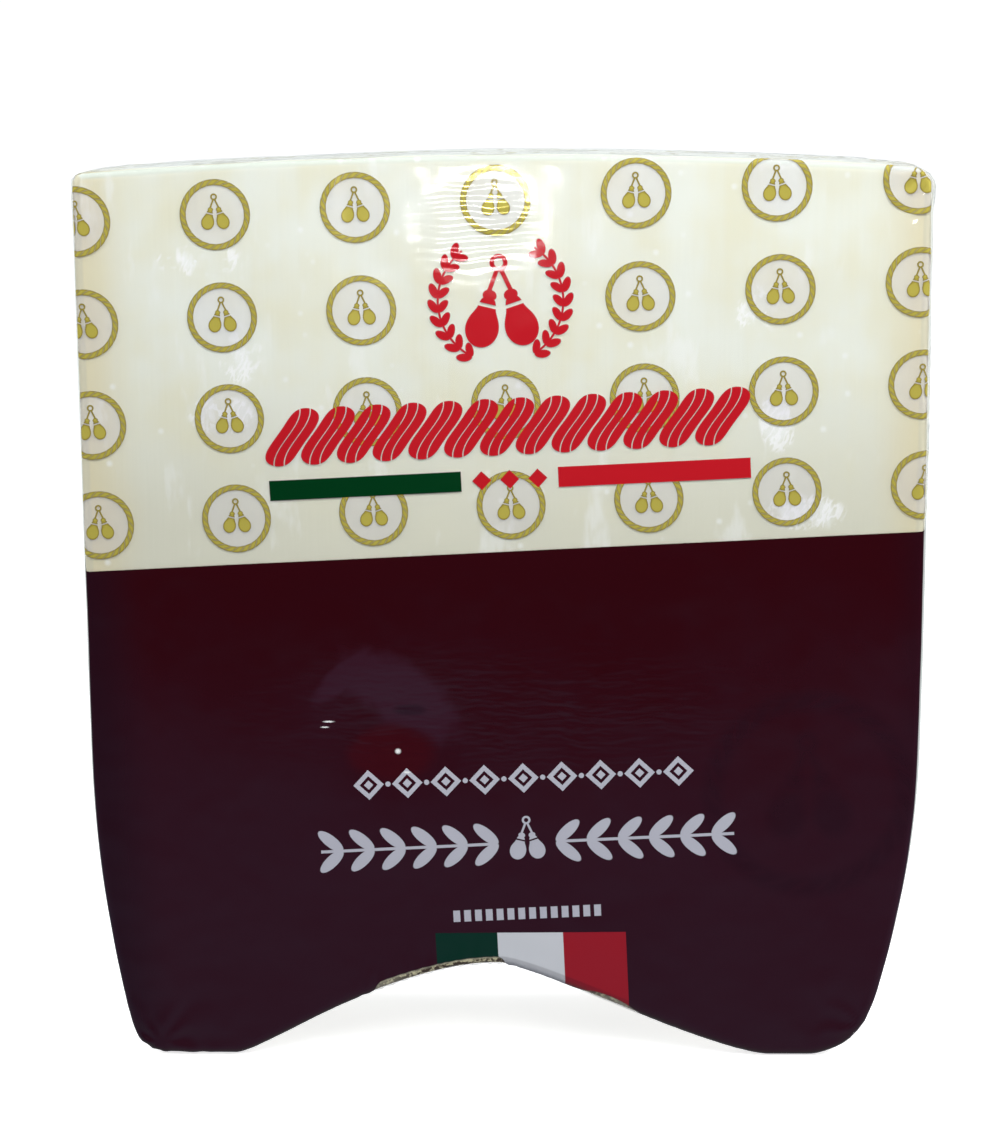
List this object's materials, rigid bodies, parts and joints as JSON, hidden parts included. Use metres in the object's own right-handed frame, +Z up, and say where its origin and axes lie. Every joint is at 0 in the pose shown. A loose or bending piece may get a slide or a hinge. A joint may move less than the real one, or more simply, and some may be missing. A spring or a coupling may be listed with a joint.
{
  "type": "portion of provolone cheese in printed shrink film",
  "caption": "Upright slab of aged provolone shut in printed shrink film, with an arched top, crowned sides and a cord groove between two flat feet.",
  "frame": {"origin": "on the surface the pack stands on, under the middle of its bounding box", "axes": "+Z up from the two feet to the arched top, +X to the right as the printed face is seen, -Y out of the printed face"},
  "size_m": [0.136, 0.034, 0.145],
  "materials": {
    "printed_film": "clear shrink film, printed dark wine red below and with small gold medallions above, glossy",
    "clear_film": "clear shrink film, doubled and pressed at the seams, glossy",
    "cheese": "aged pulled-curd cheese, ivory and smooth where cut, straw yellow to light brown on the rind"
  },
  "bodies": {
    "root": {"provolone_pack": "printed_film"}
  },
  "joints": []
}
